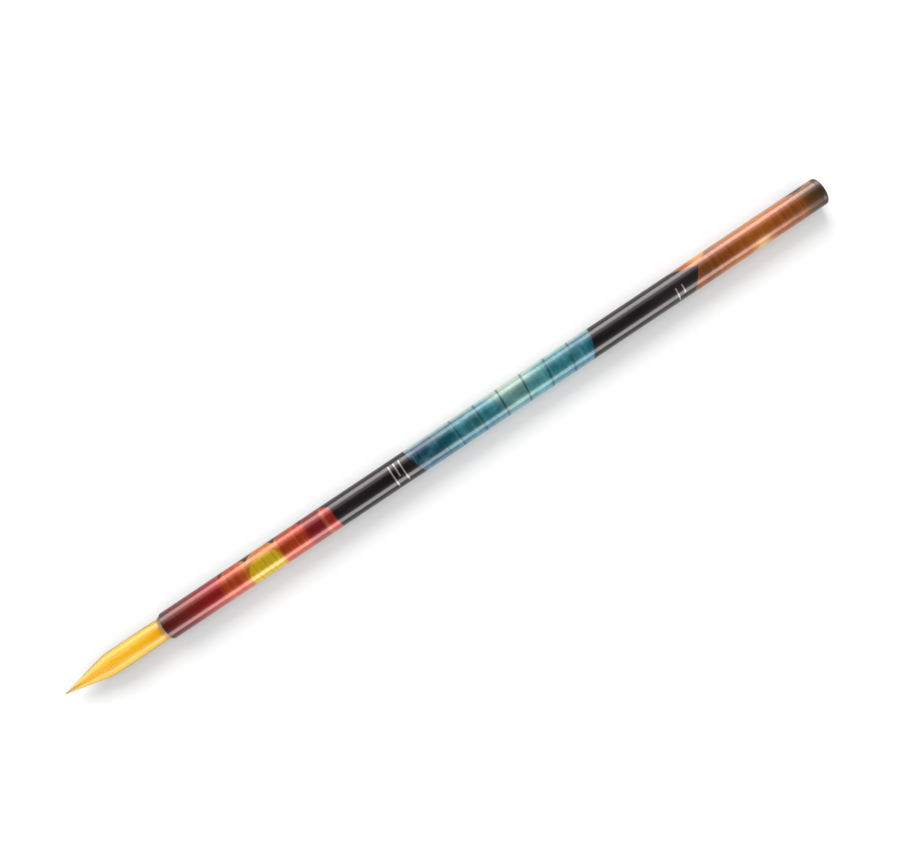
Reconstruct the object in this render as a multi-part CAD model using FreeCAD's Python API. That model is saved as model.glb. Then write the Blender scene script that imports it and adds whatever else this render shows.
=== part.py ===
"""Fine detail brush: a round pointed filament tuft set in a straight tubular handle.

Units are millimetres. The brush lies on its side with its axis along X and its point towards +X.
The origin is under the middle of the brush, on the surface that the brush lies on.
Every round piece is turned about the brush axis, which runs HANDLE_RADIUS above that surface.
Stations along the axis are measured from the nose, the handle's front face: positive towards the
point of the tuft, negative back into the handle.
"""
import FreeCAD
import Part
import math
import os

# Driving dimensions of the whole brush.
HANDLE_RADIUS = 3.0
HANDLE_LENGTH = 159.0
TUFT_LENGTH = 24.8
TOTAL_LENGTH = HANDLE_LENGTH + TUFT_LENGTH
NOSE_X = HANDLE_LENGTH - TOTAL_LENGTH / 2

# Printed film shrunk on the tube, from a little behind the nose to the rear button.
FILM_THICKNESS = 0.16
FILM_FRONT = -0.2
FILM_REAR_GAP = 0.05

# Thin-walled handle tube with a rounded nose.
TUBE_RADIUS = HANDLE_RADIUS - FILM_THICKNESS
TUBE_WALL = 0.35
BORE_RADIUS = TUBE_RADIUS - TUBE_WALL
NOSE_ROUNDING = 0.2

# Rear plug: a rounded button outside the tube and a barbed shank pressed into its bore.
BUTTON_RADIUS = 2.96
BUTTON_THICKNESS = 1.0
BUTTON_ROUNDING = 0.3
SHANK_RADIUS = 2.3
SHANK_LENGTH = 8.0
BARB_COUNT = 3
BARB_PITCH = 2.2
BARB_LENGTH = 1.5
BARB_FIRST = 0.8

# Ferrule: a drawn sleeve inside the nose, rolled over the tube's end and crimped on the tuft.
FERRULE_CLEARANCE = 0.02
FERRULE_RADIUS = BORE_RADIUS - FERRULE_CLEARANCE
FERRULE_WALL = 0.11
FERRULE_BORE = FERRULE_RADIUS - FERRULE_WALL
FERRULE_REAR = -14.0
LIP_RADIUS = 2.56
LIP_LENGTH = 0.65
LIP_ROUNDING = 0.16
CRIMP_STATIONS = (-6.4, -3.6)
CRIMP_HALF_WIDTH = 0.55
CRIMP_DEPTH = 0.12

# Bound root of the tuft, its thread and the resin that it is cast into.
ROOT_RADIUS = 1.95
ROOT_END = -12.6
ROOT_SHOULDER = -9.0
ROOT_TAPER = 0.8
THREAD_RADIUS = 0.16
THREAD_SIDES = 8
THREAD_TURNS = 6
THREAD_PITCH = 0.34
THREAD_GAP = 0.006
THREAD_REAR = -11.2
RESIN_FRONT = -11.5
RESIN_REAR = -13.6

# Outline of the free tuft: a full belly, a soft shoulder and a straight cone down to the point.
BELLY_RADIUS = 2.44
BELLY_RISE = 3.0
SHOULDER = 13.9
SHOULDER_TANGENT = 1.7
POINT_RADIUS = 0.05

# The tuft is three bundles, one inside the next, as shares of the tuft's radius.
POINT_SHARE = 0.3
BELLY_SHARE = 0.8
BELLY_END = 17.8
COVER_END = 23.5


def at(station, radius):
    """The point of a turning profile at a station along the axis and a radius from it."""
    return FreeCAD.Vector(NOSE_X + station, 0, HANDLE_RADIUS + radius)


def line(*corners):
    """Straight edges from corner to corner, each corner a (station, radius) pair."""
    points = [at(*corner) for corner in corners]
    return [Part.LineSegment(a, b).toShape() for a, b in zip(points, points[1:])]


def arc(start, middle, end):
    """A circular arc through three (station, radius) pairs."""
    return [Part.Arc(at(*start), at(*middle), at(*end)).toShape()]


def turned(edges):
    """The solid that a closed profile sweeps in one turn about the brush axis."""
    face = Part.Face(Part.Wire(Part.__sortEdges__(edges)))
    return face.revolve(at(0, 0), FreeCAD.Vector(1, 0, 0), 360)


def turned_corners(*corners):
    """A turned solid whose profile is a polygon of (station, radius) corners."""
    return turned(line(*corners, corners[0]))


def rod(rear, front, radius):
    """A plain cylinder on the brush axis between two stations."""
    return turned_corners((rear, 0), (front, 0), (front, radius), (rear, radius))


def pipe(rear, front, radius, bore):
    """A plain round pipe on the brush axis between two stations."""
    return turned_corners((rear, bore), (front, bore), (front, radius), (rear, radius))


def rounded(solid, station, radius, rounding):
    """The solid with its circular edge of that radius at that station rounded over."""
    edges = [
        edge
        for edge in solid.Edges
        if isinstance(edge.Curve, Part.Circle)
        and abs(edge.Curve.Radius - radius) < 1e-6
        and abs(edge.Curve.Center.x - NOSE_X - station) < 1e-6
    ]
    return solid.makeFillet(rounding, edges)


def crimped_line(radius, rear, front):
    """A line along the axis that dips inwards at each crimp of the ferrule."""
    edges = []
    start = rear
    for crimp in CRIMP_STATIONS:
        dip_start = (crimp - CRIMP_HALF_WIDTH, radius)
        dip_end = (crimp + CRIMP_HALF_WIDTH, radius)
        edges += line((start, radius), dip_start)
        edges += arc(dip_start, (crimp, radius - CRIMP_DEPTH), dip_end)
        start = dip_end[0]
    return edges + line((start, radius), (front, radius))


def softened_corner(before, corner, after, tangent):
    """Start, middle and end of the arc that rounds a corner, leaving each side at its tangent length."""
    start_side = FreeCAD.Vector(before[0] - corner[0], before[1] - corner[1], 0).normalize()
    end_side = FreeCAD.Vector(after[0] - corner[0], after[1] - corner[1], 0).normalize()
    half_angle = start_side.getAngle(end_side) / 2
    radius = tangent * math.tan(half_angle)
    inwards = (start_side + end_side).normalize()
    reach = tangent / math.cos(half_angle) - radius
    place = FreeCAD.Vector(corner[0], corner[1], 0)
    points = (place + start_side * tangent, place + inwards * reach, place + end_side * tangent)
    return [(point.x, point.y) for point in points]


def handle_tube():
    """The straight tube, open at both ends, with the outer edge of its nose rounded."""
    tube = pipe(BUTTON_THICKNESS - HANDLE_LENGTH, 0, TUBE_RADIUS, BORE_RADIUS)
    return rounded(tube, 0, TUBE_RADIUS, NOSE_ROUNDING)


def printed_sleeve():
    """The film round the tube, which leaves the tube's nose bare."""
    rear = BUTTON_THICKNESS - HANDLE_LENGTH + FILM_REAR_GAP
    return pipe(rear, FILM_FRONT, HANDLE_RADIUS, TUBE_RADIUS)


def rear_plug():
    """The button that closes the tube's rear end, with a shank held in the bore by barbs."""
    rear = -HANDLE_LENGTH
    seat = rear + BUTTON_THICKNESS
    button = rounded(rod(rear, seat, BUTTON_RADIUS), rear, BUTTON_RADIUS, BUTTON_ROUNDING)
    plug = button.fuse(rod(seat, seat + SHANK_LENGTH, SHANK_RADIUS))
    for index in range(BARB_COUNT):
        start = seat + BARB_FIRST + index * BARB_PITCH
        barb = turned_corners(
            (start, 0),
            (start + BARB_LENGTH, 0),
            (start + BARB_LENGTH, SHANK_RADIUS),
            (start, BORE_RADIUS),
        )
        plug = plug.fuse(barb)
    return plug.removeSplitter()


def ferrule():
    """The crimped inner sleeve, with the rolled lip that shows round the root of the tuft."""
    mouth = LIP_LENGTH
    outer = crimped_line(FERRULE_RADIUS, FERRULE_REAR, 0)
    lip = line((0, FERRULE_RADIUS), (0, LIP_RADIUS), (mouth, LIP_RADIUS), (mouth, FERRULE_BORE))
    inner = crimped_line(FERRULE_BORE, FERRULE_REAR, mouth)
    rear = line((FERRULE_REAR, FERRULE_RADIUS), (FERRULE_REAR, FERRULE_BORE))
    return rounded(turned(outer + lip + inner + rear), mouth, LIP_RADIUS, LIP_ROUNDING)


def ferrule_bond():
    """Rings of cured adhesive that fill the crimps and lock the ferrule in the tube."""
    rings = []
    for crimp in CRIMP_STATIONS:
        start, end = crimp - CRIMP_HALF_WIDTH, crimp + CRIMP_HALF_WIDTH
        edges = line(
            (start, FERRULE_RADIUS),
            (start, BORE_RADIUS),
            (end, BORE_RADIUS),
            (end, FERRULE_RADIUS),
        )
        edges += arc(
            (start, FERRULE_RADIUS),
            (crimp, FERRULE_RADIUS - CRIMP_DEPTH),
            (end, FERRULE_RADIUS),
        )
        rings.append(turned(edges))
    return Part.makeCompound(rings)


def tuft_envelope(share):
    """The tuft's outline from its root to its point, with every radius at a share of the full one."""
    mouth = LIP_LENGTH
    root = ROOT_RADIUS * share
    bore = FERRULE_BORE * share
    belly = (mouth + BELLY_RISE, BELLY_RADIUS * share)
    shoulder = (SHOULDER, BELLY_RADIUS * share)
    point = (TUFT_LENGTH, POINT_RADIUS * share)
    soft = softened_corner(belly, shoulder, point, SHOULDER_TANGENT)
    bore_start = ROOT_SHOULDER + ROOT_TAPER
    edges = line((ROOT_END, 0), (ROOT_END, root), (ROOT_SHOULDER, root), (bore_start, bore))
    edges += crimped_line(bore, bore_start, mouth)
    edges += line((mouth, bore), belly, soft[0])
    edges += arc(*soft)
    edges += line(soft[2], point, (TUFT_LENGTH, 0), (ROOT_END, 0))
    return turned(edges)


def point_filaments():
    """The longest filaments, in the middle of the tuft, which alone form its needle point."""
    tip = tuft_envelope(1).common(rod(COVER_END, TUFT_LENGTH, HANDLE_RADIUS))
    return tuft_envelope(POINT_SHARE).fuse(tip)


def belly_core():
    """The belly bundle with the middle of the tuft still in it."""
    return tuft_envelope(BELLY_SHARE).common(rod(ROOT_END, BELLY_END, HANDLE_RADIUS))


def belly_filaments():
    """The shorter filaments round the middle, which fill the belly and hold the paint."""
    return belly_core().cut(point_filaments())


def cover_filaments():
    """The outer filaments, which run over the belly and close round the point."""
    return tuft_envelope(1).cut(belly_core().fuse(point_filaments()))


def root_thread():
    """The thread wound round the root of the tuft, turn beside turn, with a many-sided section."""
    radius = ROOT_RADIUS + THREAD_RADIUS + THREAD_GAP
    corners = []
    for index in range(THREAD_SIDES + 1):
        angle = 2 * math.pi * index / THREAD_SIDES
        reach = FreeCAD.Vector(math.cos(angle), 0, math.sin(angle)) * THREAD_RADIUS
        corners.append(FreeCAD.Vector(radius, 0, 0) + reach)
    helix = Part.makeHelix(THREAD_PITCH, THREAD_TURNS * THREAD_PITCH, radius)
    thread = Part.Wire(helix).makePipeShell([Part.makePolygon(corners)], True, True)
    thread.rotate(FreeCAD.Vector(0, 0, 0), FreeCAD.Vector(0, 1, 0), 90)
    thread.translate(at(THREAD_REAR, 0))
    return thread


def root_resin():
    """The resin cast into the back of the ferrule round the root ends of the filaments."""
    pool = rod(RESIN_REAR, RESIN_FRONT, FERRULE_BORE)
    return pool.cut(rod(ROOT_END, RESIN_FRONT + 1, ROOT_RADIUS))


PIECES = (
    handle_tube,
    printed_sleeve,
    rear_plug,
    ferrule,
    ferrule_bond,
    cover_filaments,
    belly_filaments,
    point_filaments,
    root_thread,
    root_resin,
)


def main():
    os.makedirs("parts", exist_ok=True)
    for make in PIECES:
        shape = make()
        solids = shape.Solids
        shape = solids[0] if len(solids) == 1 else Part.makeCompound(solids)
        shape.exportStep(f"parts/{make.__name__}.step")
        print(make.__name__, len(solids), "solid", round(shape.Volume, 3), "mm3", shape.isValid())


main()
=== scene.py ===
"""Looks of the fine detail brush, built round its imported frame. Blender objects are in metres.

The brush lies along X on the floor, with its point towards +X. A station is a distance in millimetres
along its axis from the nose, which is the handle's front face: positive towards the point of the tuft,
negative back into the handle. An angle goes round the axis: 0 on top, positive towards +Y. Left means
the side towards -Y, which is the upper left one in the camera's view.
"""
import math
import random

import bpy
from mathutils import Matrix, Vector


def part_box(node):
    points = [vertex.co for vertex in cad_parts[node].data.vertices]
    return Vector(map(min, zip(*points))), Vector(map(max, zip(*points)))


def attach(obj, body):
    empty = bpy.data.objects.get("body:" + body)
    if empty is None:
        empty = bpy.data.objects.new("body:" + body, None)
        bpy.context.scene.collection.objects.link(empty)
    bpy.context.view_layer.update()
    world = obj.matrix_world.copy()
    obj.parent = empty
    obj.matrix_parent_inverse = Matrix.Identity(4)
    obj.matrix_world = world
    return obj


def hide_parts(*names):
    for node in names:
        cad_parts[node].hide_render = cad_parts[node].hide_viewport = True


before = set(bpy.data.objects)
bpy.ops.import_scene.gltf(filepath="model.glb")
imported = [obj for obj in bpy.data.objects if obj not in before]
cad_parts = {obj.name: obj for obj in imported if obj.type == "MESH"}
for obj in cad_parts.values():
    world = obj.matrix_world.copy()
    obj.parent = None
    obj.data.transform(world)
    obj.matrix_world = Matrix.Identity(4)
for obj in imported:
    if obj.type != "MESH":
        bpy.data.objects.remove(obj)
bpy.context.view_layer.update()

MM = 0.001

# The frame's own places, in millimetres.
HANDLE_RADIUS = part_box("printed_sleeve")[1].z / 2 / MM
NOSE_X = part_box("handle_tube")[1].x / MM
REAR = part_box("rear_plug")[0].x / MM - NOSE_X
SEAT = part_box("handle_tube")[0].x / MM - NOSE_X
FILM_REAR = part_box("printed_sleeve")[0].x / MM - NOSE_X
FILM_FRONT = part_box("printed_sleeve")[1].x / MM - NOSE_X
SHANK_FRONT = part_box("rear_plug")[1].x / MM - NOSE_X
FERRULE_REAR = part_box("ferrule")[0].x / MM - NOSE_X
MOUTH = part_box("ferrule")[1].x / MM - NOSE_X
THREAD_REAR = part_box("root_thread")[0].x / MM - NOSE_X
THREAD_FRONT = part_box("root_thread")[1].x / MM - NOSE_X
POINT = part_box("point_filaments")[1].x / MM - NOSE_X

# Sizes of the pieces' sections, in millimetres.
FILM_BORE = 2.84
TUBE_BORE = 2.49
NOSE_ROUNDING = 0.2
BUTTON_RADIUS = 2.96
BUTTON_ROUNDING = 0.3
SHANK_RADIUS = 2.3
SHANK_ROUNDING = 0.25
BARB_STARTS = (0.8, 3.0, 5.2)
BARB_LENGTH = 1.5
BARB_ROUNDING = 0.04
GATE_RADIUS = 0.7
GATE_DEPTH = 0.12
FERRULE_RADIUS = 2.47
FERRULE_BORE = 2.36
LIP_RADIUS = 2.56
LIP_ROUNDING = 0.16
MOUTH_ROUNDING = 0.04
EDGE_ROUNDING = 0.05
SEAT_ROUNDING = 0.03
CRIMP_STATIONS = (-6.4, -3.6)
CRIMP_HALF_WIDTH = 0.55
CRIMP_DEPTH = 0.12
BELLY_RADIUS = 2.44
BELLY_RISE = 3.0
SHOULDER = 13.9
SHOULDER_SOFTNESS = 0.37
POINT_RADIUS = 0.05
ROOT_RADIUS = 1.95

ROUND_SEGMENTS = 160
CORNER_STEPS = 6
SHARP_ANGLE = math.radians(35)
SEED = 11


# ---------------------------------------------------------------- meshes


def at(station, radius, angle=0.0):
    """The place at a station, a radius from the axis and an angle round it."""
    across = radius * math.sin(angle)
    above = radius * math.cos(angle)
    return Vector((NOSE_X + station, across, HANDLE_RADIUS + above)) * MM


def mesh_piece(name, places, faces, material, slot, *replaced):
    """A smooth-shaded piece that rides on the brush and stands for the CAD nodes it replaces."""
    mesh = bpy.data.meshes.new(name)
    mesh.from_pydata(places, [], faces)
    mesh.shade_smooth()
    mesh.set_sharp_from_angle(angle=SHARP_ANGLE)
    mesh.materials.append(material)
    piece = bpy.data.objects.new(name, mesh)
    bpy.context.scene.collection.objects.link(piece)
    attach(piece, "root")
    if replaced:
        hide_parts(*replaced)
    return piece


def rounded_outline(*corners):
    """A closed outline of (station, radius) corners, each with an optional rounding as its third number."""
    outline = []
    for index, corner in enumerate(corners):
        here = Vector(corner[:2])
        rounding = corner[2] if len(corner) > 2 else 0
        if not rounding:
            outline.append(tuple(here))
            continue
        before = Vector(corners[index - 1][:2])
        after = Vector(corners[(index + 1) % len(corners)][:2])
        start = here + (before - here).normalized() * rounding
        end = here + (after - here).normalized() * rounding
        for step in range(CORNER_STEPS + 1):
            share = step / CORNER_STEPS
            outline.append(tuple(start.lerp(here, share).lerp(here.lerp(end, share), share)))
    return outline


def turned(name, outline, material, slot, *replaced):
    """A piece made by turning a closed outline about the brush axis."""
    places, faces, rings = [], [], []
    for station, radius in outline:
        if radius < 1e-6:
            rings.append([len(places)] * ROUND_SEGMENTS)
            places.append(at(station, 0))
            continue
        rings.append([len(places) + turn for turn in range(ROUND_SEGMENTS)])
        for turn in range(ROUND_SEGMENTS):
            places.append(at(station, radius, 2 * math.pi * turn / ROUND_SEGMENTS))
    for ring, following in zip(rings, rings[1:] + rings[:1]):
        for turn in range(ROUND_SEGMENTS):
            beside = (turn + 1) % ROUND_SEGMENTS
            corners = (ring[turn], ring[beside], following[beside], following[turn])
            face = tuple(dict.fromkeys(corners))
            if len(face) > 2:
                faces.append(face)
    return mesh_piece(name, places, faces, material, slot, *replaced)


def add_strand(places, faces, path, outwards, radii, sides):
    """Adds a round strand along a path of places, closed at both ends, to a mesh's lists."""
    first = len(places)
    last = len(path) - 1
    for index, (middle, outward, radius) in enumerate(zip(path, outwards, radii)):
        along = (path[min(index + 1, last)] - path[max(index - 1, 0)]).normalized()
        sideways = along.cross(outward).normalized()
        upright = sideways.cross(along)
        for side in range(sides):
            angle = 2 * math.pi * side / sides
            reach = sideways * math.sin(angle) + upright * math.cos(angle)
            places.append(middle + reach * radius)
    for index in range(last):
        for side in range(sides):
            here = first + index * sides + side
            beside = first + index * sides + (side + 1) % sides
            faces.append((here, beside, beside + sides, here + sides))
    faces.append(tuple(first + side for side in reversed(range(sides))))
    faces.append(tuple(first + last * sides + side for side in range(sides)))


# ---------------------------------------------------------------- material nodes


def srgb(red, green, blue):
    """A linear colour from screen values of 0 to 255."""
    parts = []
    for part in (red, green, blue):
        share = part / 255
        parts.append(share / 12.92 if share <= 0.04045 else ((share + 0.055) / 1.055) ** 2.4)
    return (*parts, 1.0)


class Value:
    """A number that varies over a surface. Arithmetic on it adds math nodes to its material."""

    def __init__(self, look, socket):
        self.look = look
        self.socket = socket

    def __add__(self, other):
        return self.look.math("ADD", self, other)

    def __radd__(self, other):
        return self.look.math("ADD", other, self)

    def __sub__(self, other):
        return self.look.math("SUBTRACT", self, other)

    def __rsub__(self, other):
        return self.look.math("SUBTRACT", other, self)

    def __mul__(self, other):
        return self.look.math("MULTIPLY", self, other)

    def __truediv__(self, other):
        return self.look.math("DIVIDE", self, other)


class Look:
    """One material, with the surface's places in millimetres and short calls that add its nodes."""

    def __init__(self, name, **constants):
        self.material = bpy.data.materials.new(name)
        self.material.use_nodes = True
        self.tree = self.material.node_tree
        self.shader = self.tree.nodes["Principled BSDF"]
        for socket, value in constants.items():
            self.shader.inputs[socket.replace("_", " ")].default_value = value
        place = self.tree.nodes.new("ShaderNodeTexCoord").outputs["Object"]
        parts = self.tree.nodes.new("ShaderNodeSeparateXYZ")
        self.tree.links.new(place, parts.inputs[0])
        self.station = Value(self, parts.outputs["X"]) / MM - NOSE_X
        self.across = Value(self, parts.outputs["Y"]) / MM
        self.above = Value(self, parts.outputs["Z"]) / MM - HANDLE_RADIUS
        self.angle = self.math("ARCTAN2", self.across, self.above)

    def plug(self, target, value):
        """Sets a socket to a number or colour, or links it to a varying one."""
        if isinstance(value, Value):
            self.tree.links.new(value.socket, target)
        else:
            target.default_value = value

    def math(self, operation, *values):
        node = self.tree.nodes.new("ShaderNodeMath")
        node.operation = operation
        for target, value in zip(node.inputs, values):
            self.plug(target, value)
        return Value(self, node.outputs[0])

    def rise(self, value, place, softness):
        """0 below a place and 1 above it, with a soft step between."""
        node = self.tree.nodes.new("ShaderNodeMapRange")
        node.interpolation_type = "SMOOTHSTEP"
        self.plug(node.inputs["Value"], value)
        self.plug(node.inputs["From Min"], place - softness)
        self.plug(node.inputs["From Max"], place + softness)
        return Value(self, node.outputs[0])

    def between(self, value, low, high, softness):
        """1 between two places and 0 outside them."""
        return self.rise(value, low, softness) - self.rise(value, high, softness)

    def mix(self, amount, first, second):
        """A colour between two colours."""
        node = self.tree.nodes.new("ShaderNodeMix")
        node.data_type = "RGBA"
        self.plug(node.inputs["Factor"], amount)
        colours = [socket for socket in node.inputs if socket.type == "RGBA"]
        self.plug(colours[0], first)
        self.plug(colours[1], second)
        result = next(socket for socket in node.outputs if socket.type == "RGBA")
        return Value(self, result)

    def darken(self, amount, colour, depth):
        """The colour with its brightness lowered by a depth where the amount is 1."""
        node = self.tree.nodes.new("ShaderNodeHueSaturation")
        self.plug(node.inputs["Value"], 1 - amount * depth)
        self.plug(node.inputs["Color"], colour)
        return Value(self, node.outputs[0])

    def ramp(self, value, *stops):
        """A colour that changes along a value through (place, colour) stops."""
        low, high = stops[0][0], stops[-1][0]
        node = self.tree.nodes.new("ShaderNodeValToRGB")
        self.plug(node.inputs[0], (value - low) / (high - low))
        points = node.color_ramp.elements
        for index, (place, colour) in enumerate(stops):
            share = (place - low) / (high - low)
            point = points[index] if index < 2 else points.new(share)
            point.position = share
            point.color = colour
        return Value(self, node.outputs[0])

    def noise(self, along, round_, detail=2.0, roughness=0.5, offset=0.0):
        """Soft noise of 0 to 1, with so many cells per millimetre along the axis and round it."""
        place = self.tree.nodes.new("ShaderNodeCombineXYZ")
        self.plug(place.inputs["X"], self.station * along + offset)
        self.plug(place.inputs["Y"], self.across * round_)
        self.plug(place.inputs["Z"], self.above * round_)
        node = self.tree.nodes.new("ShaderNodeTexNoise")
        node.inputs["Scale"].default_value = 1.0
        node.inputs["Detail"].default_value = detail
        node.inputs["Roughness"].default_value = roughness
        self.tree.links.new(place.outputs[0], node.inputs["Vector"])
        return Value(self, node.outputs["Fac"])

    def bump(self, height, depth):
        """Bumps the surface by a height of 0 to 1 times a depth in millimetres."""
        node = self.tree.nodes.new("ShaderNodeBump")
        node.inputs["Strength"].default_value = 1.0
        node.inputs["Distance"].default_value = depth * MM
        self.plug(node.inputs["Height"], height)
        self.tree.links.new(node.outputs[0], self.shader.inputs["Normal"])

    def paint(self, colour):
        self.plug(self.shader.inputs["Base Color"], colour)

    def roughen(self, value):
        self.plug(self.shader.inputs["Roughness"], value)

    def metallise(self, value):
        self.plug(self.shader.inputs["Metallic"], value)

    def coat(self, value):
        self.plug(self.shader.inputs["Coat Weight"], value)


# ---------------------------------------------------------------- printed film

# Places along the print, in millimetres behind the print's own front, which is this far before the nose.
PRINT_LEAD = 0.3
SCALLOP_START = 14.7
SCALLOP_PITCH = 6.6
FRONT_ZONE_END = 41.4
TEAL_START = 60.6
TEAL_END = 103.6
RIB_START = 71.0
RIB_PITCH = 5.52
RIB_SQUARE = 76.7
RIB_FAN = 0.010
AMBER_START = 128.9
OLIVE_START = 154.2


def fine_lines(look, pitch, offset):
    """Thin uneven lines across the print, 1 on a line, with a few of them to each pitch."""
    wave = look.noise(1 / pitch, 0.015, detail=1.0, offset=offset)
    strength = look.noise(0.4 / pitch, 0.5, detail=1.0, offset=offset + 40)
    return look.between(wave, 0.55, 0.66, 0.06) * look.rise(strength, 0.45, 0.2)


def disc(look, back, centre, angle, radius, softness, squareness=2.0):
    """1 inside a disc printed on the handle, whose middle is at a place and an angle. It is round at a
    squareness of 2 and has fuller corners above that."""
    along = look.math("ABSOLUTE", back - centre)
    around = look.math("ABSOLUTE", look.math("SINE", (look.angle - angle) * 0.5)) * (2 * HANDLE_RADIUS)
    total = look.math("POWER", along, squareness) + look.math("POWER", around, squareness)
    reach = look.math("POWER", total, 1 / squareness)
    return 1 - look.rise(reach, radius, softness)


def front_zone(look, back, colour):
    """Maroon, crimson and orange scallops that overlap on the black ground, with one yellow disc."""
    body = look.ramp(
        back,
        (0.0, srgb(78, 20, 12)),
        (5.0, srgb(100, 26, 16)),
        (10.0, srgb(122, 20, 16)),
        (14.0, srgb(136, 16, 20)),
        (15.4, srgb(164, 64, 12)),
        (18.6, srgb(162, 52, 14)),
        (21.2, srgb(182, 104, 24)),
        (28.2, srgb(182, 98, 26)),
        (29.0, srgb(160, 56, 10)),
        (34.4, srgb(156, 46, 16)),
        (35.4, srgb(114, 16, 20)),
        (38.6, srgb(114, 18, 20)),
        (39.3, srgb(160, 82, 52)),
        (39.9, srgb(140, 40, 26)),
        (42.2, srgb(146, 32, 22)),
    )
    lined = look.between(back, 14.6, 34.6, 0.8)
    body = look.darken(fine_lines(look, 0.45, 3.1) * lined, body, 0.16)
    body = look.darken(fine_lines(look, 1.3, 8.7) * lined, body, 0.22)
    body = look.mix(fine_lines(look, 0.7, 15.2) * lined * 0.14, body, srgb(236, 150, 70))
    # Painted sheen: from a few millimetres behind the print's front, the colours are paled towards pink
    # down the lower right side.
    painted_lower_sheen = look.rise(look.angle, 0.72, 0.25) * look.rise(back, 9.0, 4.0)
    body = look.mix(painted_lower_sheen * 0.2, body, srgb(226, 150, 136))
    wave = look.math("SINE", (back - SCALLOP_START) * (math.pi / SCALLOP_PITCH))
    crest = look.math("ABSOLUTE", wave)
    scalloped = look.between(back, SCALLOP_START, 36.4, 0.3)
    depth = 1.25 - (back - SCALLOP_START) * 0.012 - crest * 0.88
    wrapped = look.rise(look.angle, -1.9 + scalloped * depth, 0.04)
    wrapped = wrapped * (1 - look.rise(look.angle, 2.35 + crest * 0.3, 0.03))
    turned_away = look.math("MAXIMUM", -0.5 - look.angle, 0)
    ending = FRONT_ZONE_END + look.across * 0.08 - turned_away * turned_away * 4.6
    shown = wrapped * (1 - look.rise(back, ending, 0.2))
    colour = look.mix(shown, colour, body)
    return yellow_disc(look, back, colour)


def yellow_disc(look, back, colour):
    """The yellow disc, cut straight on its rear side, with an orange rim and fine ribs."""
    cut = 1 - look.rise(back, 28.3, 0.3)
    rim = look.between(disc(look, back, 24.7, 0.97, 4.35, 0.35, 3.0), 0.3, 0.7, 0.2) * cut
    inside = disc(look, back, 24.7, 0.97, 4.0, 0.2, 3.0) * cut
    fringe = look.between(back, 20.0, 21.4, 0.5) * look.between(look.angle, 0.15, 2.1, 0.35)
    fringe = fringe * look.rise(look.noise(2.0, 0.03, detail=1.0, offset=61.0), 0.46, 0.06)
    ribs = look.rise(look.math("COSINE", back * (2 * math.pi / 1.12)), 0.76, 0.24)
    ribs = ribs * look.rise(look.noise(0.7, 0.5, offset=5.0), 0.42, 0.15)
    # The yellow's ramp round the axis paints light and shade: it is dimmed under the right highlight band
    # and lighter further down the right side.
    yellow = look.ramp(
        look.angle,
        (-0.7, srgb(166, 120, 10)),
        (0.1, srgb(202, 176, 14)),
        (0.5, srgb(184, 148, 40)),
        (1.2, srgb(208, 172, 44)),
        (2.4, srgb(170, 134, 30)),
    )
    yellow = look.mix(fine_lines(look, 0.5, 33.0) * 0.4, yellow, srgb(160, 136, 10))
    yellow = look.mix(ribs * 0.42, yellow, srgb(110, 88, 4))
    colour = look.mix(rim * 0.6, colour, srgb(150, 76, 16))
    colour = look.mix(fringe * 0.75, colour, srgb(206, 170, 34))
    return look.mix(inside, colour, yellow)


def teal_zone(look, back, colour):
    """Mottled teal between two slanted edges, crossed by dark ribs that lean more and more."""
    cloud = look.noise(0.3, 0.4, detail=5.0, roughness=0.62, offset=1.7)
    body = look.ramp(
        back,
        (60.0, srgb(10, 46, 74)),
        (63.0, srgb(2, 60, 80)),
        (70.5, srgb(4, 82, 92)),
        (72.0, srgb(18, 96, 112)),
        (76.2, srgb(38, 94, 96)),
        (77.2, srgb(20, 98, 112)),
        (80.6, srgb(34, 106, 114)),
        (82.0, srgb(80, 124, 120)),
        (86.0, srgb(80, 126, 122)),
        (90.5, srgb(60, 126, 128)),
        (94.0, srgb(36, 110, 118)),
        (99.0, srgb(22, 98, 112)),
        (104.5, srgb(12, 84, 102)),
    )
    navy = look.between(back, 61.4, 64.6, 1.2) * look.between(look.angle, -2.6, -0.1, 0.3)
    body = look.mix(navy * look.rise(cloud, 0.42, 0.12) * 0.36, body, srgb(8, 40, 96))
    body = look.darken(look.rise(cloud, 0.52, 0.16), body, 0.2)
    body = look.mix(look.rise(1 - cloud, 0.54, 0.14) * 0.16, body, srgb(110, 176, 184))
    # Painted light: down the lower right side the teal is paled towards light blue, more so towards the
    # rear.
    lower_side = look.between(look.angle, 0.9, 2.5, 0.3) * (0.3 + look.rise(back, 77.0, 4.0) * 0.1)
    body = look.mix(lower_side, body, srgb(122, 164, 192))
    # Painted sheen: along the upper left edge the teal is paled towards grey-green.
    body = look.mix(look.between(look.angle, -2.3, -1.0, 0.25) * 0.58, body, srgb(178, 198, 190))
    cream = look.between(back, 80.0, 90.0, 2.6) * look.between(look.angle, -2.5, -0.55, 0.6)
    body = look.mix(cream * (0.25 + cloud * 0.4), body, srgb(176, 186, 164))
    leaning = back + (back - RIB_SQUARE) * look.across * RIB_FAN
    wave = look.math("COSINE", (leaning - RIB_START) * (2 * math.pi / RIB_PITCH))
    ribs = look.rise(wave, 0.965, 0.03) * look.between(back, 69.0, 101.0, 0.5)
    body = look.mix(ribs * 0.68, body, srgb(6, 44, 50))
    body = look.darken(fine_lines(look, 0.6, 12.3), body, 0.14)
    body = look.mix(fine_lines(look, 0.9, 71.0) * 0.1, body, srgb(150, 206, 204))
    starting = TEAL_START + look.across * (0.33 + look.across * 0.02)
    ending = TEAL_END - look.across * (0.34 + look.across * 0.03)
    shown = look.rise(back, starting, 0.1) - look.rise(back, ending, 0.1)
    return look.mix(shown, colour, body)


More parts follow.
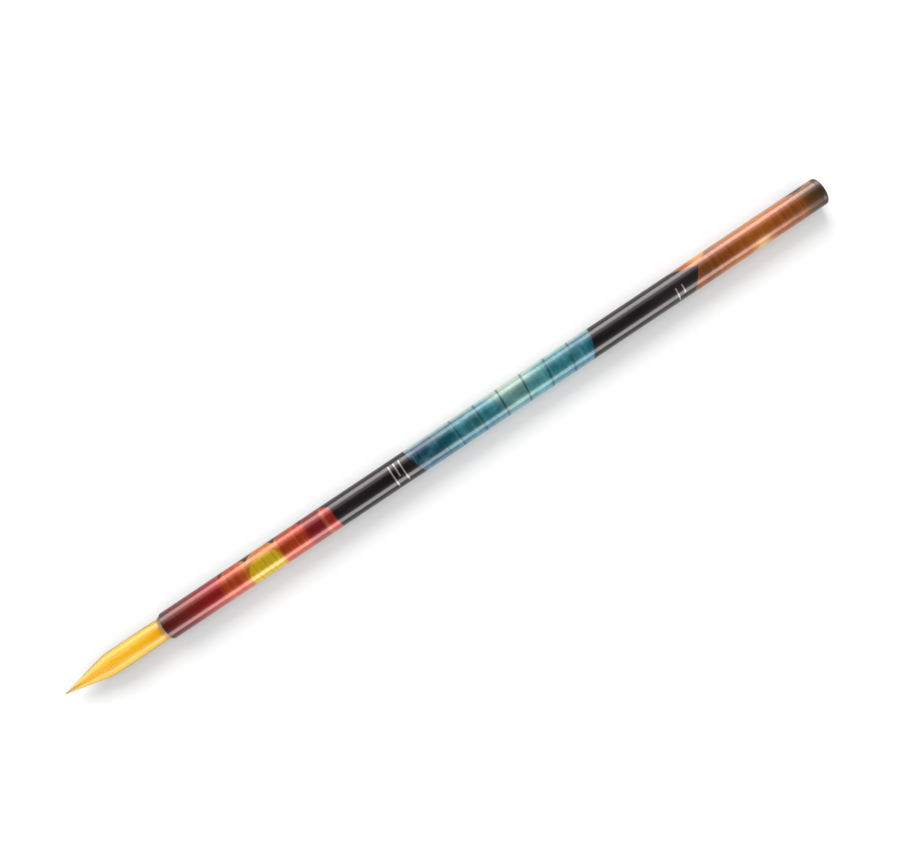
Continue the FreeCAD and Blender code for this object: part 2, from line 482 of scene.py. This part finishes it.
def amber_zone(look, back, colour):
    """Burnt orange that runs forward in a tongue on the left side and ends in olive brown at the rear."""
    cloud = look.noise(0.16, 0.3, detail=4.0, offset=4.4)
    body = look.ramp(
        back,
        (125.0, srgb(118, 66, 28)),
        (131.0, srgb(110, 58, 20)),
        (136.0, srgb(126, 64, 14)),
        (144.0, srgb(150, 82, 14)),
        (150.0, srgb(136, 70, 10)),
        (153.4, srgb(118, 64, 14)),
        (155.4, srgb(86, 54, 14)),
        (158.3, srgb(64, 44, 14)),
    )
    lined = 1 - look.rise(back, OLIVE_START, 1.0)
    body = look.mix(look.rise(cloud, 0.52, 0.16) * lined * 0.3, body, srgb(170, 88, 26))
    body = look.darken(fine_lines(look, 0.4, 21.0) * lined, body, 0.2)
    body = look.darken(fine_lines(look, 1.2, 26.0) * lined, body, 0.26)
    body = look.mix(fine_lines(look, 0.8, 52.0) * lined * 0.16, body, srgb(206, 120, 60))
    # Painted sheen: along the upper left side the amber is paled towards pale orange.
    body = look.mix(look.between(look.angle, -2.3, -0.8, 0.3) * 0.34, body, srgb(206, 152, 118))
    # Painted light and shade down the lower right side: paler orange along the middle of the amber, and
    # near-black brown towards the rear end.
    lower_side = look.between(look.angle, 0.95, 2.3, 0.25)
    body = look.mix(lower_side * look.between(back, 133.0, 147.0, 3.0) * 0.35, body, srgb(206, 132, 26))
    body = look.mix(lower_side * look.rise(back, 153.5, 2.5) * 0.5, body, srgb(26, 14, 0))
    flare = disc(look, back, 143.4, 1.15, 1.5, 1.5) * (0.65 + fine_lines(look, 0.4, 90.0) * 0.35)
    body = look.mix(flare * 0.72, body, srgb(236, 210, 140))
    glow = disc(look, back, 131.2, -1.5, 2.6, 1.6)
    lower_edge = look.rise(back, AMBER_START - look.across * 0.68, 0.12)
    tongue = 121.0 + look.math("ABSOLUTE", look.angle + 1.85) * 5.9
    upper_edge = look.rise(back, tongue, 0.25) * (1 - look.rise(look.angle, -0.4, 0.04))
    patch = disc(look, back, 129.0, -2.0, 3.75, 0.3, 3.0)
    patch_colour = look.mix(glow * 0.7, srgb(150, 84, 36), srgb(222, 162, 84))
    colour = look.mix(look.math("MAXIMUM", lower_edge, upper_edge), colour, body)
    colour = look.mix(patch, colour, patch_colour)
    wedge = disc(look, back, 154.6, -1.9, 2.7, 0.2)
    return look.mix(wedge * 0.85, colour, srgb(30, 24, 20))


def dark_rim(look, back, colour):
    """A dark edge at the nose: partly the print's black margin where it stops short, partly painted shade
    on the rounded edge, widest and darkest down the left side.
    """
    turned_away = look.math("MAXIMUM", look.math("ABSOLUTE", look.angle - 0.1) - 0.45, 0)
    rim = 1 - look.rise(back, 0.6 + turned_away * 1.1, 0.2)
    strength = 0.9 - look.rise(look.angle, 0.5, 0.3) * 0.45
    return look.mix(rim * strength, colour, srgb(50, 50, 36))


def pale_marks(look, back, colour):
    """Short plain bars across the black stretches, in place of any lettering."""
    bars = (
        (55.6, -0.75, 0.95),
        (56.8, -0.75, 0.30),
        (58.0, -0.75, 0.95),
        (123.3, 0.05, 1.10),
        (124.8, 0.05, 0.70),
    )
    for place, low, high in bars:
        bar = look.between(back, place - 0.15, place + 0.15, 0.05)
        bar = bar * look.between(look.angle, low, high, 0.02)
        colour = look.mix(bar * 0.75, colour, srgb(168, 162, 158))
    return colour


def film_look():
    """Glossy clear film over a slightly metallic print: discs and bands of colour on a black ground.
    The teal and amber inks are less metallic than the rest, and the gloss is thinner over the teal.
    """
    look = Look(
        "printed_film",
        IOR=1.45,
        Specular_IOR_Level=0.2,
        Coat_Roughness=0.14,
        Coat_IOR=1.5,
    )
    back = PRINT_LEAD - look.station
    cloud = look.noise(0.12, 0.3, detail=3.0)
    colour = look.mix(look.rise(cloud, 0.55, 0.2), srgb(20, 17, 18), srgb(34, 27, 30))
    colour = look.mix(look.rise(back, 117.0, 3.0) * 0.12, colour, srgb(70, 64, 64))
    colour = front_zone(look, back, colour)
    colour = teal_zone(look, back, colour)
    colour = amber_zone(look, back, colour)
    colour = pale_marks(look, back, colour)
    colour = dark_rim(look, back, colour)
    look.paint(colour)
    teal = look.between(back, TEAL_START, TEAL_END, 1.0)
    amber = look.rise(back, AMBER_START, 1.0)
    look.metallise(0.35 - teal * 0.17 - amber * 0.1)
    look.coat(1.0 - teal * 0.25)
    look.roughen(0.3 + look.noise(0.5, 0.5, detail=3.0) * 0.08)
    look.bump(look.noise(0.35, 0.45, detail=1.0, offset=9.0), 0.02)
    return look.material


# ---------------------------------------------------------------- other materials


def anodised_look():
    """Black anodised tube with fine turning marks round it and a worn edge at the nose."""
    look = Look("black_anodised", Metallic=0.6, IOR=1.5)
    tone = look.noise(0.6, 0.8, detail=3.0)
    colour = look.mix(tone, srgb(30, 34, 31), srgb(58, 62, 56))
    worn = look.rise(look.station, -0.16, 0.12) * look.rise(look.noise(3.0, 3.0, offset=2.0), 0.5, 0.15)
    look.paint(look.mix(worn * 0.6, colour, srgb(120, 120, 108)))
    turning = look.noise(28.0, 0.5, detail=2.0)
    look.roughen(0.3 + turning * 0.15)
    look.bump(turning, 0.004)
    return look.material


def ferrule_look():
    """Pale champagne metal with faint drawing marks, with painted shade down the left side of its lip."""
    look = Look("ferrule_metal", Metallic=0.3, Specular_IOR_Level=0.3)
    tone = look.noise(0.5, 1.5, detail=3.0)
    colour = look.mix(tone, srgb(150, 122, 84), srgb(184, 154, 112))
    # Painted shade: the lip is darkened towards dark olive down its left side.
    painted_left_shade = look.between(look.angle, -1.5, -0.4, 0.25)
    look.paint(look.mix(painted_left_shade * 0.7, colour, srgb(92, 84, 44)))
    drawing = look.noise(20.0, 1.0, detail=2.0)
    look.roughen(0.42 + drawing * 0.16)
    look.bump(drawing, 0.003)
    return look.material


def plug_look():
    """Moulded olive-brown plastic with a faint flow pattern and a slightly matt skin."""
    look = Look("olive_plug", Coat_Weight=0.25, Coat_Roughness=0.14, IOR=1.5)
    flow = look.noise(0.5, 0.6, detail=4.0, roughness=0.6)
    look.paint(look.mix(flow, srgb(42, 28, 12), srgb(66, 46, 24)))
    grain = look.noise(14.0, 14.0, detail=2.0)
    look.roughen(0.32 + grain * 0.14)
    look.bump(grain, 0.004)
    return look.material


def filament_look():
    """Golden synthetic filaments with silky streaks, grey at the point, with painted shade at the mouth and
    down the tuft's sides.
    """
    look = Look(
        "golden_filament",
        IOR=1.5,
        Specular_IOR_Level=0.35,
        Coat_Weight=0.65,
        Coat_Roughness=0.13,
        Subsurface_Weight=0.1,
        Subsurface_Scale=0.0005,
    )
    look.shader.inputs["Subsurface Radius"].default_value = (1.0, 0.45, 0.12)
    streaks = look.noise(0.18, 7.0, detail=3.0, roughness=0.6)
    # The ramp starts darker at the mouth: painted shade where the tuft goes into the ferrule.
    base = look.ramp(
        look.station,
        (MOUTH - 0.4, srgb(176, 124, 24)),
        (MOUTH + 0.8, srgb(224, 164, 10)),
        (8.0, srgb(236, 176, 8)),
        (20.0, srgb(230, 174, 14)),
        (21.8, srgb(200, 160, 50)),
        (POINT, srgb(146, 136, 100)),
    )
    # Painted shade: the tuft's sides, and all its underside, are darkened towards olive.
    side = look.rise(look.math("ABSOLUTE", look.angle - 0.04), 1.02, 0.2)
    base = look.mix(side * 0.85, base, srgb(134, 116, 56))
    light = look.mix(look.rise(streaks, 0.58, 0.12) * 0.3, base, srgb(240, 188, 30))
    look.paint(look.darken(1 - look.rise(streaks, 0.40, 0.14), light, 0.09))
    look.roughen(0.22 + streaks * 0.12)
    look.bump(look.noise(0.25, 16.0, detail=2.0), 0.002)
    return look.material


def thread_look():
    """Undyed thread with fibres of slightly different tone."""
    look = Look("root_thread", IOR=1.4)
    fibres = look.noise(9.0, 5.0, detail=3.0)
    look.paint(look.mix(fibres, srgb(196, 184, 150), srgb(236, 228, 202)))
    look.roughen(0.75 + fibres * 0.15)
    look.bump(fibres, 0.01)
    return look.material


def resin_look():
    """Cured amber resin with cloudy patches."""
    look = Look("amber_resin", IOR=1.55, Coat_Weight=0.4)
    cloud = look.noise(1.2, 1.2, detail=4.0)
    look.paint(look.mix(cloud, srgb(150, 96, 30), srgb(208, 156, 70)))
    look.roughen(0.2 + cloud * 0.2)
    look.bump(look.noise(3.0, 3.0), 0.01)
    return look.material


# ---------------------------------------------------------------- handle


def make_film(material):
    """The clear film, rounded more at its front edge than at its rear one."""
    thickness = HANDLE_RADIUS - FILM_BORE
    outline = rounded_outline(
        (FILM_REAR, FILM_BORE),
        (FILM_FRONT, FILM_BORE),
        (FILM_FRONT, HANDLE_RADIUS, thickness / 2),
        (FILM_REAR, HANDLE_RADIUS, thickness / 4),
    )
    return turned("printed_film", outline, material, "printed_film", "printed_sleeve")


def make_tube(material):
    """The tube inside the film, with a rounded edge at the nose."""
    outline = rounded_outline(
        (SEAT, TUBE_BORE),
        (0.0, TUBE_BORE, EDGE_ROUNDING),
        (0.0, FILM_BORE, NOSE_ROUNDING),
        (SEAT, FILM_BORE),
    )
    return turned("tube", outline, material, "black_anodised", "handle_tube")


def make_rear_button(material):
    """The rear plug, with the round gate mark that moulding leaves in the middle of its face."""
    barbs = []
    for start in reversed(BARB_STARTS):
        barbs.append((SEAT + start + BARB_LENGTH, SHANK_RADIUS))
        barbs.append((SEAT + start, TUBE_BORE, BARB_ROUNDING))
        barbs.append((SEAT + start, SHANK_RADIUS))
    outline = rounded_outline(
        (REAR + GATE_DEPTH, 0.0),
        (REAR + GATE_DEPTH, GATE_RADIUS, EDGE_ROUNDING),
        (REAR, GATE_RADIUS, EDGE_ROUNDING),
        (REAR, BUTTON_RADIUS, BUTTON_ROUNDING),
        (SEAT, BUTTON_RADIUS, SEAT_ROUNDING),
        (SEAT, SHANK_RADIUS),
        *reversed(barbs),
        (SHANK_FRONT, SHANK_RADIUS, SHANK_ROUNDING),
        (SHANK_FRONT, 0.0),
    )
    return turned("rear_button", outline, material, "olive_plug", "rear_plug")


def crimped(radius, rear, front):
    """Points of a wall along the axis that dips inwards at each crimp of the ferrule."""
    points = [(rear, radius)]
    for crimp in CRIMP_STATIONS:
        for step in range(-CORNER_STEPS, CORNER_STEPS + 1):
            share = step / CORNER_STEPS
            dip = CRIMP_DEPTH * (1 - share * share)
            points.append((crimp + CRIMP_HALF_WIDTH * share, radius - dip))
    return points + [(front, radius)]


def make_ferrule(material):
    """The drawn sleeve that holds the tuft, with two crimps and a rolled lip in front of the tube."""
    outer = crimped(FERRULE_RADIUS, FERRULE_REAR, 0.0)
    lip = rounded_outline(
        (0.0, LIP_RADIUS, SEAT_ROUNDING),
        (MOUTH, LIP_RADIUS, LIP_ROUNDING),
        (MOUTH, FERRULE_BORE, MOUTH_ROUNDING),
        (0.0, FERRULE_BORE),
    )
    inner = crimped(FERRULE_BORE, FERRULE_REAR, 0.0)
    outline = outer + lip[:-1] + inner[::-1]
    return turned("ferrule_sleeve", outline, material, "ferrule_metal", "ferrule")


# ---------------------------------------------------------------- tuft

# Depths, radii and stations are in millimetres. A strand's middle lies a share of its own radius below
# the tuft's surface, and its lean is an angle.
TUFT_RIDGES = 132
STEPS_PER_RIDGE = 5
TUFT_RINGS = 110
TUFT_IN_FERRULE = 0.9
RIDGE_DEPTH = 0.004
LOCK_DEPTH = 0.010
LOCK_COUNTS = (9, 14)
LOCK_DRIFT = 0.25
LOCK_WAVE = 0.31
LOCK_EMERGENCE = 2.0
STRAND_COUNT = 96
STRAND_RADIUS = 0.034
STRAND_SUNK = 0.72
STRAND_STARTS = (MOUTH + 0.3, 9.0)
STRAND_ENDS = (14.5, POINT - 0.6)
STRAND_LEAN = 0.05
STRAND_STEPS = 46
STRAND_SIDES = 8


def soft_minimum(first, second, softness):
    """The lower of two numbers, with the corner between them rounded."""
    near = max(softness - abs(first - second), 0) / softness
    return min(first, second) - near * near * softness / 4


def tuft_radius(station):
    """The tuft's outline: it swells from the ferrule to its belly, then closes in a straight cone."""
    swell = min(max((station - MOUTH) / BELLY_RISE, 0), 1)
    belly = FERRULE_BORE + (BELLY_RADIUS - FERRULE_BORE) * swell
    slope = (BELLY_RADIUS - POINT_RADIUS) / (POINT - SHOULDER)
    cone = POINT_RADIUS + (POINT - station) * slope
    return soft_minimum(belly, cone, SHOULDER_SOFTNESS)


def tuft_surface(station, angle):
    """The tuft's radius with its ridges, one for each outer filament, and its few broad locks."""
    radius = tuft_radius(station)
    size = radius / BELLY_RADIUS
    ridge = 1 - abs(math.cos(TUFT_RIDGES * angle / 2))
    drift = LOCK_DRIFT * math.sin(station * LOCK_WAVE)
    broad = math.sin(LOCK_COUNTS[0] * angle + drift)
    narrow = math.sin(LOCK_COUNTS[1] * angle + 1.3 - 2 * drift)
    lock = 0.5 + 0.25 * (broad + narrow)
    emerging = min(max((station - MOUTH) / LOCK_EMERGENCE, 0), 1)
    return radius - size * (RIDGE_DEPTH * ridge + LOCK_DEPTH * lock * emerging)


def make_tuft(material):
    """The outer filaments as one ridged skin, drawn together at the point."""
    around = TUFT_RIDGES * STEPS_PER_RIDGE
    places, faces = [], []
    start = MOUTH - TUFT_IN_FERRULE
    for ring in range(TUFT_RINGS + 1):
        station = start + (POINT - start) * ring / TUFT_RINGS
        for turn in range(around):
            angle = 2 * math.pi * turn / around
            places.append(at(station, tuft_surface(station, angle), angle))
    for ring in range(TUFT_RINGS):
        for turn in range(around):
            here = ring * around + turn
            beside = ring * around + (turn + 1) % around
            faces.append((here, beside, beside + around, here + around))
    faces.append(tuple(reversed(range(around))))
    faces.append(tuple(TUFT_RINGS * around + turn for turn in range(around)))
    replaced = ("cover_filaments", "point_filaments")
    return mesh_piece("tuft", places, faces, material, "golden_filament", *replaced)


def make_surface_strands(material):
    """Single filaments that lie mostly sunk in the tuft's skin and end at different stations."""
    chance = random.Random(SEED)
    places, faces = [], []
    for index in range(STRAND_COUNT):
        angle = 2 * math.pi * (index + chance.uniform(-0.4, 0.4)) / STRAND_COUNT
        start = chance.uniform(*STRAND_STARTS)
        end = chance.uniform(*STRAND_ENDS)
        lean = chance.uniform(-STRAND_LEAN, STRAND_LEAN)
        path, outwards, radii = [], [], []
        for step in range(STRAND_STEPS + 1):
            share = step / STRAND_STEPS
            station = start + (end - start) * share
            here = angle + lean * share
            tapered = min(1, 9 * share + 0.15) * min(1, 3.2 * (1 - share) + 0.12)
            narrowed = 0.25 + 0.75 * tuft_radius(station) / BELLY_RADIUS
            radius = STRAND_RADIUS * tapered * narrowed
            path.append(at(station, tuft_surface(station, here) - radius * STRAND_SUNK, here))
            outwards.append(Vector((0, math.sin(here), math.cos(here))))
            radii.append(radius * MM)
        add_strand(places, faces, path, outwards, radii, STRAND_SIDES)
    return mesh_piece("surface_filaments", places, faces, material, "golden_filament")


# ---------------------------------------------------------------- root binding

# The binding thread's turns round the root, and its plies: their radius and their distance from the
# thread's middle, as shares of its thickness, and how often they twist in each turn.
THREAD_TURNS = 6
THREAD_PLIES = 3
PLY_RADIUS_SHARE = 0.23
PLY_REACH_SHARE = 0.27
PLY_TWISTS = 9
PLY_SIDES = 8
STEPS_PER_TURN = 90


def make_thread(material):
    """The binding thread: three plies twisted together, wound round the root of the tuft."""
    thickness = (THREAD_FRONT - THREAD_REAR) / (THREAD_TURNS + 1)
    reach = thickness * PLY_REACH_SHARE
    ply_radius = thickness * PLY_RADIUS_SHARE
    middle = ROOT_RADIUS + 0.5 * thickness
    steps = THREAD_TURNS * STEPS_PER_TURN
    places, faces = [], []
    for ply in range(THREAD_PLIES):
        path, outwards = [], []
        for step in range(steps + 1):
            share = step / steps
            angle = 2 * math.pi * THREAD_TURNS * share
            twist = angle * PLY_TWISTS + 2 * math.pi * ply / THREAD_PLIES
            station = THREAD_REAR + thickness * (0.5 + THREAD_TURNS * share) + reach * math.sin(twist)
            path.append(at(station, middle + reach * math.cos(twist), angle))
            outwards.append(Vector((0, math.sin(angle), math.cos(angle))))
        add_strand(places, faces, path, outwards, [ply_radius * MM] * (steps + 1), PLY_SIDES)
    return mesh_piece("bound_thread", places, faces, material, "thread", "root_thread")


# ---------------------------------------------------------------- stage

# The floor's size and the camera's height are in metres, the camera's other places and its lens in
# millimetres, and its turn in degrees.
FLOOR_SIZE = 60.0
FLOOR_TONE = 0.3
CAMERA_HEIGHT = 0.2193
CAMERA_STATION = -69.45
CAMERA_ACROSS = -0.7
CAMERA_LENS = 42.7
CAMERA_TURN = 146.3

# Softboxes that lie along the brush and light it alone: name, lowest and highest elevation in degrees from
# the left, distance, middle and length along X in metres, brightness.
SOFTBOX_COLOUR = (1.0, 0.93, 0.94)
SOFTBOXES = (
    ("softbox_left", 0.5, 33.0, 0.60, 0.0, 2.4, 4.4),
    ("softbox_left_middle", 0.5, 33.0, 0.57, -0.045, 0.33, 1.2),
    ("softbox_left_rear", 0.5, 33.0, 0.57, -0.34, 0.24, 1.3),
    ("softbox_upper", 33.0, 58.0, 0.60, 0.0, 2.4, 0.9),
    ("softbox_right", 145.5, 176.0, 0.60, 0.42, 1.56, 4.6),
    ("softbox_right_middle", 145.5, 176.0, 0.57, -0.045, 0.33, 1.0),
)

# Even lights for the floor, which give the shadow: name, elevation in degrees from the left, width in
# degrees, brightness.
FLOOR_LIGHTS = (
    ("floor_left", 39.0, 36.0, 6.8),
    ("floor_wide", 101.0, 90.0, 4.6),
    ("floor_above", 90.0, 4.0, 1.65),
)

# Brightness of the room by the height of the direction, from straight down, past the horizon at 0, to
# straight above. What lies below the horizon shows in the brush's gloss instead of the floor.
ROOM_LIGHT = (
    (-1.0, 0.55),
    (-0.05, 0.55),
    (-0.01, 0.8),
    (0.5, 0.6),
    (0.72, 0.3),
    (0.88, 0.1),
    (1.0, 0.06),
)


def make_floor():
    half = FLOOR_SIZE / 2
    corners = [(-half, -half, 0), (half, -half, 0), (half, half, 0), (-half, half, 0)]
    mesh = bpy.data.meshes.new("floor")
    mesh.from_pydata(corners, [], [(0, 1, 2, 3)])
    floor = bpy.data.objects.new("floor", mesh)
    bpy.context.scene.collection.objects.link(floor)
    material = bpy.data.materials.new("floor")
    material.use_nodes = True
    shader = material.node_tree.nodes["Principled BSDF"]
    shader.inputs["Base Color"].default_value = (FLOOR_TONE, FLOOR_TONE, FLOOR_TONE, 1)
    shader.inputs["Roughness"].default_value = 1.0
    shader.inputs["Specular IOR Level"].default_value = 0.0
    mesh.materials.append(material)
    floor.visible_glossy = False
    return floor


def aim(light, elevation, distance, middle=0.0):
    """Adds a light that faces the brush from an elevation, counted in degrees from the left side."""
    turn = math.radians(elevation)
    reach = Vector((0, -math.cos(turn), math.sin(turn)))
    light.location = reach * distance + Vector((middle, 0, 0))
    light.rotation_mode = "QUATERNION"
    light.rotation_quaternion = reach.to_track_quat("Z", "Y")
    bpy.context.scene.collection.objects.link(light)


def make_softbox(name, low, high, distance, middle, length, brightness):
    """A long light beside the brush that spans a range of elevations and shows in its gloss."""
    height = 2 * distance * math.tan(math.radians((high - low) / 2))
    data = bpy.data.lights.new(name, "AREA")
    data.shape = "RECTANGLE"
    data.size = length
    data.size_y = height
    data.energy = brightness * math.pi * length * height
    data.color = SOFTBOX_COLOUR
    light = bpy.data.objects.new(name, data)
    light.visible_camera = False
    aim(light, (low + high) / 2, distance, middle)
    return light


def make_floor_light(name, elevation, width, brightness):
    data = bpy.data.lights.new(name, "SUN")
    data.angle = math.radians(width)
    data.energy = brightness
    light = bpy.data.objects.new(name, data)
    aim(light, elevation, 1.0)
    return light


def light_only(light, pieces):
    """Makes a light reach only the given pieces."""
    lit = bpy.data.collections.new("lit_by_" + light.name)
    for piece in pieces:
        lit.objects.link(piece)
    light.light_linking.receiver_collection = lit


def make_room_light():
    """Light from all round that fades out overhead, so that gloss stays dark along its top."""
    world = bpy.data.worlds.new("room")
    world.use_nodes = True
    tree = world.node_tree
    direction = tree.nodes.new("ShaderNodeTexCoord").outputs["Generated"]
    parts = tree.nodes.new("ShaderNodeSeparateXYZ")
    height = tree.nodes.new("ShaderNodeMapRange")
    height.inputs["From Min"].default_value = -1.0
    ramp = tree.nodes.new("ShaderNodeValToRGB")
    tree.links.new(direction, parts.inputs[0])
    tree.links.new(parts.outputs["Z"], height.inputs["Value"])
    tree.links.new(height.outputs[0], ramp.inputs[0])
    tree.links.new(ramp.outputs[0], tree.nodes["Background"].inputs["Color"])
    points = ramp.color_ramp.elements
    for index, (place, brightness) in enumerate(ROOM_LIGHT):
        share = (place + 1) / 2
        point = points[index] if index < 2 else points.new(share)
        point.position = share
        point.color = (brightness, brightness, brightness, 1)
    bpy.context.scene.world = world


def make_camera():
    """A camera straight above the brush, turned so that the point lies to the lower left."""
    data = bpy.data.cameras.new("camera")
    data.lens = CAMERA_LENS
    data.clip_start = 0.01
    camera = bpy.data.objects.new("camera", data)
    camera.location = ((NOSE_X + CAMERA_STATION) * MM, CAMERA_ACROSS * MM, CAMERA_HEIGHT)
    camera.rotation_euler = (0, 0, math.radians(CAMERA_TURN))
    bpy.context.scene.collection.objects.link(camera)
    bpy.context.scene.camera = camera


# ---------------------------------------------------------------- the scene


def dress(node, material):
    """Gives a CAD node that stays as it is its better material."""
    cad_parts[node].material_slots[0].material = material


bpy.context.scene.view_settings.view_transform = "Standard"
make_camera()
make_room_light()
floor = make_floor()

filament = filament_look()
resin = resin_look()
pieces = [
    make_film(film_look()),
    make_tube(anodised_look()),
    make_rear_button(plug_look()),
    make_ferrule(ferrule_look()),
    make_tuft(filament),
    make_surface_strands(filament),
    make_thread(thread_look()),
]
for softbox in SOFTBOXES:
    light_only(make_softbox(*softbox), pieces)
for floor_light in FLOOR_LIGHTS:
    light_only(make_floor_light(*floor_light), [floor])
dress("belly_filaments", filament)
dress("root_resin", resin)
dress("ferrule_bond", resin)
